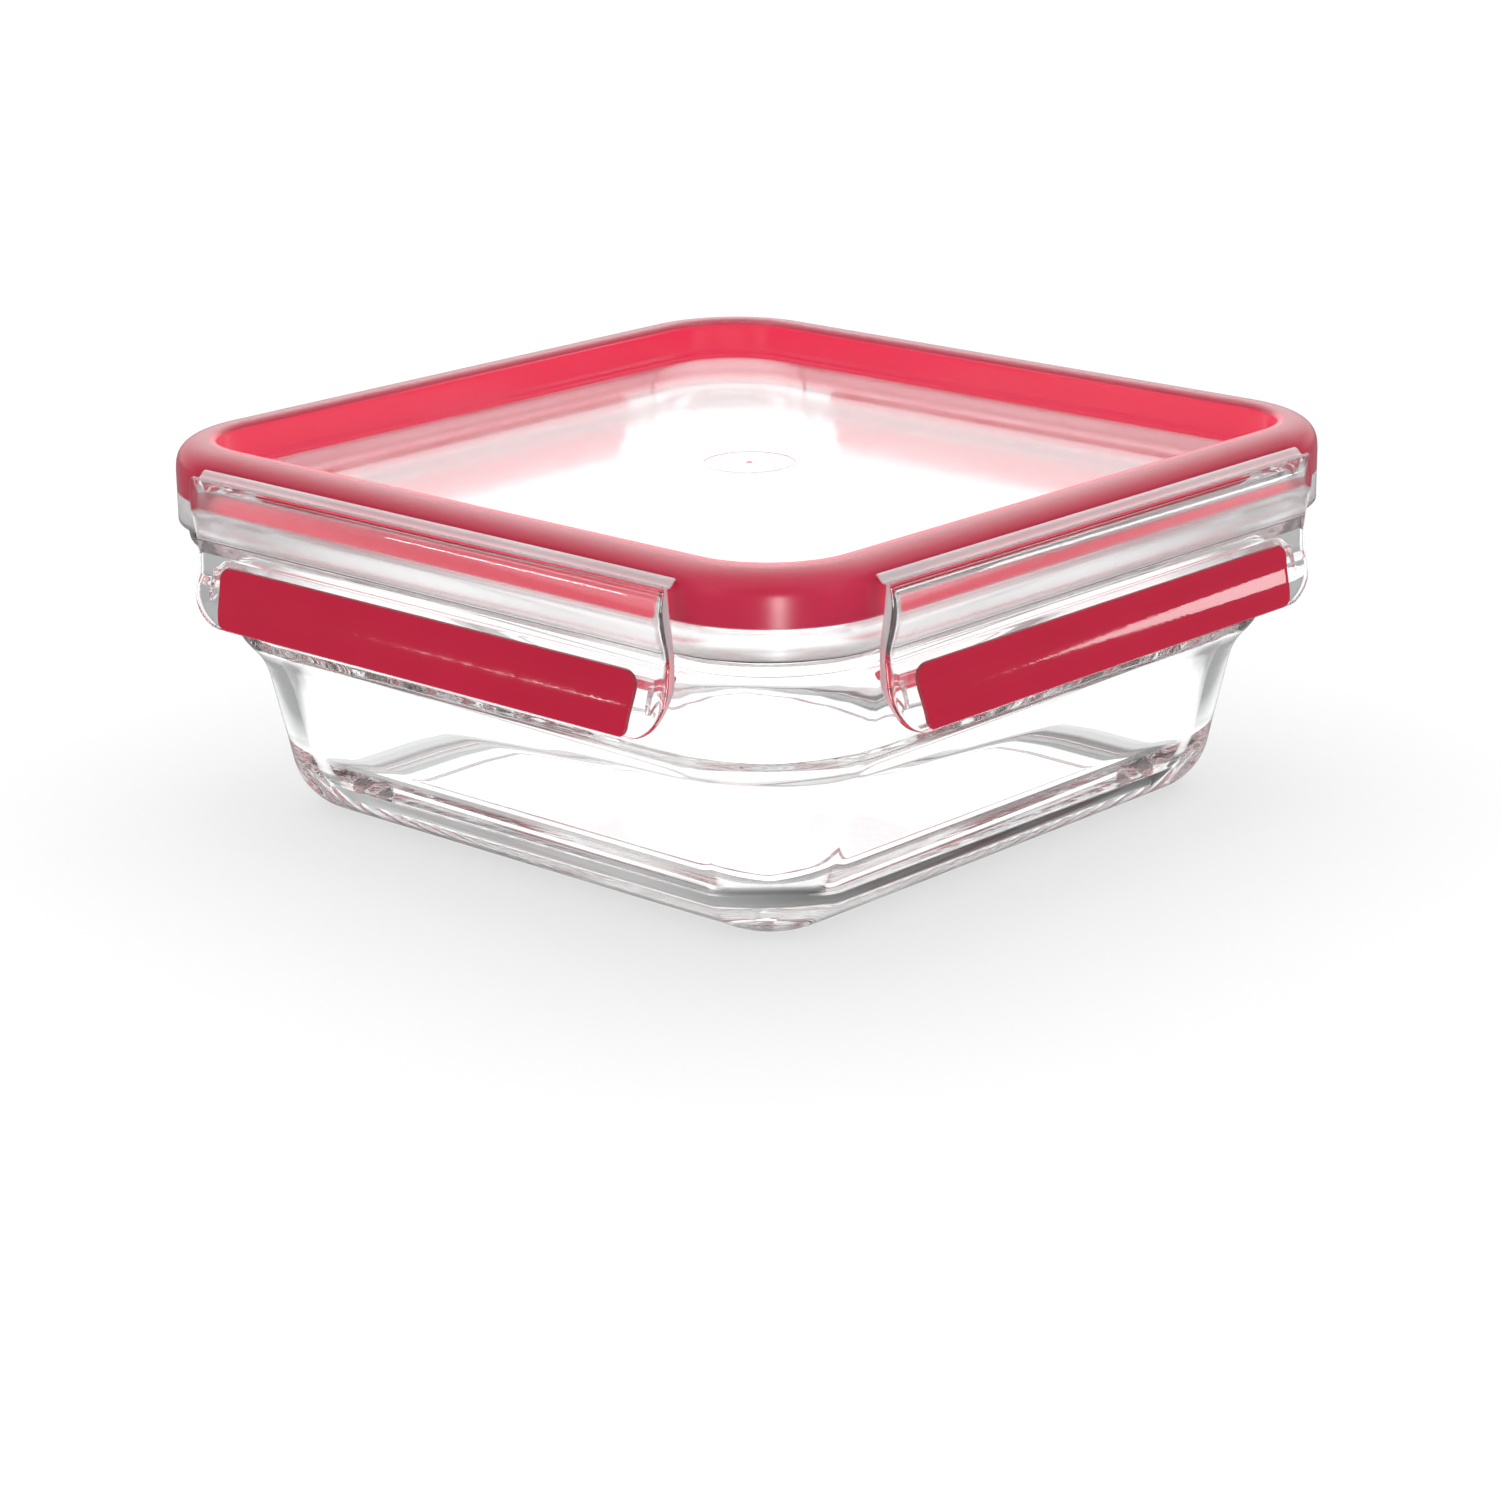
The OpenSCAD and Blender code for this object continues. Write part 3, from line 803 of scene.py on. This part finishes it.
# The pads' inner faces: a painted red glow, so that pads seen from behind look pink.
PAD_INNER_GLOW = soft_material("grip_inner_painted_glow", (0.55, 0.02, 0.08), (0.60, 0.03, 0.10),
                          (0.1, 0.2), 0.2, glow=0.55)
PAD_RED = soft_material("grip_red_rubber", (0.58, 0.010, 0.046), (0.62, 0.012, 0.052),
                        (0.03, 0.06), 0.35)


def outwardness(face):
    """How far a face looks away from the object's middle, from -1 to 1."""
    return face.normal.xy.dot(face.center.xy.normalized())


def looks_inward(face):
    return outwardness(face) < -0.5 and face.normal.z > -0.3


def behind_a_clip(face):
    """Whether a face of the seal's outer side is where a clip covers it."""
    return (outwardness(face) > 0.5 and face.center.z < (LID_TOP - 4.5) * MM
            and min(abs(face.center.x), abs(face.center.y)) < CORNER_C * MM)


def paint(obj, mat, chosen):
    """Gives a piece's chosen faces a second or further material."""
    obj.data.materials.append(mat)
    index = len(obj.data.materials) - 1
    for face in obj.data.polygons:
        if chosen(face):
            face.material_index = index


def dress(obj, mat, body, slot_name, *nodes):
    """Gives a piece its material and body, and hides the CAD nodes it stands for; its slot name is
    not used.
    """
    obj.data.materials.clear()
    obj.data.materials.append(mat)
    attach(obj, body)
    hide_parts(*nodes)


dish = make_dish()
dress(dish, GLASS, "dish", "dish_glass", "glass_dish")
# The band at the heel gets the grey-tinted glass, as painted shade.
paint(dish, HEEL_SHADED_GLASS,
      lambda face: HEEL_LOW * MM < face.center.z < HEEL_HIGH * MM and outwardness(face) > 0.3)
lid_shell = make_lid_shell()
dress(lid_shell, LID_CLEAR, "lid", "lid_clear", "lid_cover")
# The underside of the skirt is painted near black, as painted shade.
paint(lid_shell, SKIRT_SHADE,
      lambda face: face.normal.z < -0.3 and face.center.z < (SKIRT_Z + 0.7) * MM)
seal = make_seal()
dress(seal, SEAL_RED, "lid", "seal_red", "seal_ring")
# The seal's inner wall gets the brighter, glowing red: painted light.
paint(seal, SEAL_INNER_GLOW,
      lambda face: face.center.z > (PANEL_Z - 0.2) * MM and looks_inward(face))
# The seal's sides behind the clips get the painted glow.
paint(seal, SEAL_SIDE_GLOW, behind_a_clip)
for turn, side_name in enumerate(SIDES):
    clip_body = f"clip_{side_name}_body"
    clip = make_clip(side_name, turn)
    dress(clip, CLIP_CLEAR, clip_body, "clip_clear", f"clip_{side_name}")
    outward = Matrix.Rotation(math.radians(90 * turn), 3, "Z")
    along = outward @ Vector((0, 1, 0))
    # The clip's end faces get the hazy pink plastic, as painted light.
    paint(clip, CLIP_END_PAINTED_LIGHT, lambda face: abs(face.normal.dot(along)) > 0.8)
    pad = make_pad(side_name, turn)
    dress(pad, PAD_RED, clip_body, "pad_red", f"grip_pad_{side_name}")
    # The pads' inner faces get the painted glow.
    paint(pad, PAD_INNER_GLOW, looks_inward)
    dress(make_rib(side_name, turn), CLIP_CLEAR, clip_body, "clip_clear", f"latch_rib_{side_name}")
    web = make_web(side_name, turn)
    # The web gets the hazy pink plastic too, as painted light.
    web.data.materials.append(CLIP_END_PAINTED_LIGHT)
    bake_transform(web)
    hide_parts(f"film_hinge_{side_name}")

# ---- Studio ----

AZIMUTH, ELEVATION, ROLL = 42.6, 17.6, -0.64     # the photograph's viewing angle, in degrees
DISTANCE = 0.8334
TARGET = Vector((0, 0, 0.0076))

# Painted shade on the floor, by the distance in millimetres from a square 8 mm inside the base's
# edge: a wide grey shadow round the dish, and a contact shadow seen through glass
SHADOW_POOL_STOPS = [(0, 0.80), (9, 0.80), (20, 0.85), (45, 0.90), (90, 0.97), (150, 1)]
SHADOW_STOPS = [(0, 1), (0.5, 1), (1.6, 0.03), (10, 0.03), (14, 0.75), (24, 1)]
FLOOR_GLOW = 0.8           # the floor's brightness seen directly
MIRRORED_GLOW = 0.35       # seen in a reflection
UNDER_DISH_GLOW = 1.42     # seen through glass, below the dish
BESIDE_DISH_GLOW = 0.4     # seen through glass, beside the dish
DARK_FROM, DARK_FULL = 0.102, 0.125       # metres from the middle, where it darkens
LIGHT_FROM, LIGHT_FULL = 0.15, 0.21       # and where it grows light again


def make_floor():
    """A pale floor with a painted grey shadow round the dish and a painted contact shadow round the
    base, brighter through glass.
    """
    size, z = 6000, -0.02
    verts = [(-size, -size, z), (size, -size, z), (size, size, z), (-size, size, z)]
    obj = new_object("studio_floor", verts, [(0, 1, 2, 3)])
    mat = bpy.data.materials.new("studio_floor")
    mat.use_nodes = True
    tree = mat.node_tree
    tree.nodes.clear()

    def glow(strength, colour=None):
        node = tree.nodes.new("ShaderNodeEmission")
        node.inputs["Strength"].default_value = strength
        if colour:
            tree.links.new(colour, node.inputs["Color"])
        return node.outputs[0]

    def mixed(factor, first, second):
        node = tree.nodes.new("ShaderNodeMixShader")
        tree.links.new(factor, node.inputs["Fac"])
        tree.links.new(first, node.inputs[1])
        tree.links.new(second, node.inputs[2])
        return node.outputs[0]

    where = tree.nodes.new("ShaderNodeTexCoord").outputs["Object"]
    away = outside_square(tree, where, WALL_C)

    def by_distance(stops, reach, kind="B_SPLINE"):
        """A grey of painted shade that changes with the distance from the base, by stops in
        millimetres.
        """
        part = tree.nodes.new("ShaderNodeMapRange")
        part.inputs["From Max"].default_value = reach * MM
        tree.links.new(away, part.inputs["Value"])
        ramp = tree.nodes.new("ShaderNodeValToRGB")
        ramp.color_ramp.interpolation = kind
        while len(ramp.color_ramp.elements) < len(stops):
            ramp.color_ramp.elements.new(0.5)
        for element, (at, value) in zip(ramp.color_ramp.elements, stops):
            element.position = at / reach
            element.color = (value, value * 1.005, value * 1.004, 1)
        tree.links.new(part.outputs["Result"], ramp.inputs["Fac"])
        return ramp.outputs["Color"]

    # Painted shade: a wide grey shadow round the dish, and a contact shadow at the base.
    shadow_pool = by_distance(SHADOW_POOL_STOPS, 160)
    shadow = by_distance(SHADOW_STOPS, 30, "EASE")
    diffuse = tree.nodes.new("ShaderNodeBsdfDiffuse")
    diffuse.inputs["Color"].default_value = (0.25, 0.25, 0.25, 1)
    seen = tree.nodes.new("ShaderNodeAddShader")
    tree.links.new(diffuse.outputs[0], seen.inputs[0])
    tree.links.new(glow(FLOOR_GLOW, shadow_pool), seen.inputs[1])

    path = tree.nodes.new("ShaderNodeLightPath")
    mirrored = combined(tree, "MULTIPLY", path.outputs["Is Glossy Ray"],
                        path.outputs["Is Reflection Ray"])

    # Through glass the floor is darker beside the dish, across the photograph's view, which
    # draws the dish's outline. It is fixed in the scene, and doesn't follow the camera.
    az = math.radians(AZIMUTH)
    across = tree.nodes.new("ShaderNodeVectorMath")
    across.operation = "DOT_PRODUCT"
    across.inputs[1].default_value = (math.cos(az), math.sin(az), 0)
    tree.links.new(where, across.inputs[0])
    size_across = combined(tree, "ABSOLUTE", across.outputs["Value"], 0)
    beside = combined(
        tree, "ADD",
        spread(tree, size_across, UNDER_DISH_GLOW, BESIDE_DISH_GLOW, DARK_FROM, DARK_FULL),
        spread(tree, size_across, 0, 1.0, LIGHT_FROM, LIGHT_FULL))
    lit_side = tree.nodes.new("ShaderNodeMix")
    lit_side.data_type = "RGBA"
    lit_side.inputs["B"].default_value = (1, 1, 1, 1)
    tree.links.new(spread(tree, across.outputs["Value"], 0.3, 0.0, -0.02, 0.02),
                   lit_side.inputs["Factor"])
    tree.links.new(shadow, lit_side.inputs["A"])
    through = tree.nodes.new("ShaderNodeEmission")
    tree.links.new(lit_side.outputs["Result"], through.inputs["Color"])
    tree.links.new(beside, through.inputs["Strength"])
    surface = mixed(path.outputs["Is Transmission Ray"], seen.outputs[0], through.outputs[0])
    surface = mixed(mirrored, surface, glow(MIRRORED_GLOW))
    out = tree.nodes.new("ShaderNodeOutputMaterial")
    tree.links.new(surface, out.inputs["Surface"])
    obj.data.materials.append(mat)


def make_camera():
    """The camera at the photograph's viewing angle."""
    az, el, roll = (math.radians(x) for x in (AZIMUTH, ELEVATION, ROLL))
    back = Vector((math.sin(az) * math.cos(el), -math.cos(az) * math.cos(el), math.sin(el)))
    right = Vector((math.cos(az), math.sin(az), 0))
    up = back.cross(right)
    right2 = right * math.cos(roll) + up * math.sin(roll)
    up2 = up * math.cos(roll) - right * math.sin(roll)
    data = bpy.data.cameras.new("camera")
    data.lens = 97.9
    data.sensor_width = 36
    data.shift_x, data.shift_y = -0.0017, 0.0040
    data.clip_start, data.clip_end = 0.05, 50
    cam = bpy.data.objects.new("camera", data)
    place = Matrix((right2, up2, back)).transposed().to_4x4()
    place.translation = TARGET + back * DISTANCE
    cam.matrix_world = place
    bpy.context.scene.collection.objects.link(cam)
    bpy.context.scene.camera = cam


def make_world():
    """Soft white studio: brighter high up behind, darker in front and at both sides."""
    world = bpy.data.worlds.new("studio")
    bpy.context.scene.world = world
    world.use_nodes = True
    tree = world.node_tree
    tree.nodes.clear()
    out = tree.nodes.new("ShaderNodeOutputWorld")
    light = tree.nodes.new("ShaderNodeBackground")
    coords = tree.nodes.new("ShaderNodeTexCoord")
    az = math.radians(AZIMUTH)

    def lobe(direction, start, end, value_start, value_end):
        """A smooth change of brightness with the angle from a direction."""
        dot = tree.nodes.new("ShaderNodeVectorMath")
        dot.operation = "DOT_PRODUCT"
        dot.inputs[1].default_value = Vector(direction).normalized()
        ramp = tree.nodes.new("ShaderNodeMapRange")
        ramp.interpolation_type = "SMOOTHSTEP"
        ramp.inputs["From Min"].default_value = math.cos(math.radians(end))
        ramp.inputs["From Max"].default_value = math.cos(math.radians(start))
        ramp.inputs["To Min"].default_value = value_end
        ramp.inputs["To Max"].default_value = value_start
        tree.links.new(coords.outputs["Generated"], dot.inputs[0])
        tree.links.new(dot.outputs["Value"], ramp.inputs["Value"])
        return ramp.outputs["Result"]

    front = lobe((math.sin(az), -math.cos(az), -0.05), 20, 60, 0.3, 1.0)
    back = lobe((-math.sin(az), math.cos(az), 1.0), 10, 42, 0.6, 0.0)
    right_card = lobe((math.cos(az), math.sin(az), 0.12), 18, 38, 0.4, 1.0)
    left_card = lobe((-math.cos(az), -math.sin(az), 0.12), 18, 38, 0.4, 1.0)
    total = combined(tree, "ADD", front, back)
    total = combined(tree, "MULTIPLY", total,
                     combined(tree, "MULTIPLY", right_card, left_card))
    camera_ray = tree.nodes.new("ShaderNodeLightPath").outputs["Is Camera Ray"]
    total = combined(tree, "MAXIMUM", total, camera_ray)
    tree.links.new(total, light.inputs["Strength"])
    light.inputs["Color"].default_value = (1, 1, 1, 1)
    tree.links.new(light.outputs[0], out.inputs["Surface"])


def strip_light(name, centre, aim, width, height, power, tilt=0.0):
    """A thin lamp that shows only in reflections, as the highlights on the glossy parts do."""
    data = bpy.data.lights.new(name, "AREA")
    data.shape = "RECTANGLE"
    data.size, data.size_y = width, height
    data.energy = power
    lamp = bpy.data.objects.new(name, data)
    toward = (Vector(aim) - Vector(centre)).normalized()
    turn = toward.to_track_quat("-Z", "Y").to_matrix().to_4x4()
    lamp.matrix_world = (Matrix.Translation(centre) @ turn
                         @ Matrix.Rotation(math.radians(tilt), 4, "Z"))
    for kind in ("camera", "diffuse", "transmission", "volume_scatter"):
        setattr(lamp, "visible_" + kind, False)
    bpy.context.scene.collection.objects.link(lamp)


def make_strips():
    """Highlights: a thin line on the left pad, a wedge on the right, a streak at the corner."""
    strip_light("strip_left", (-0.673, -0.803, 0.1765), (0.02, -0.092, 0.05),
                0.105, 0.012, 0.10, 3.7)
    strip_light("strip_right", (0.722, 0.781, 0.137), (0.092, 0.01, 0.05), 0.14, 0.04, 0.17, -21)
    corner = (0.0667, -0.0725, 0.048)
    strip_light("streak", (0.183, -0.172, 0.048), corner, 0.007, 0.05, 0.026)
    strip_light("streak_soft", (0.1865, -0.1756, 0.048), corner, 0.035, 0.06, 0.05)


make_floor()
make_camera()
make_world()
make_strips()
scene = bpy.context.scene
scene.view_settings.view_transform = "Standard"
GLASS_BOUNCES = 64     # light crosses many clear walls before it leaves
scene.cycles.max_bounces = GLASS_BOUNCES
scene.cycles.transmission_bounces = GLASS_BOUNCES
scene.cycles.glossy_bounces = GLASS_BOUNCES
scene.cycles.diffuse_bounces = 8
scene.cycles.transparent_max_bounces = 16
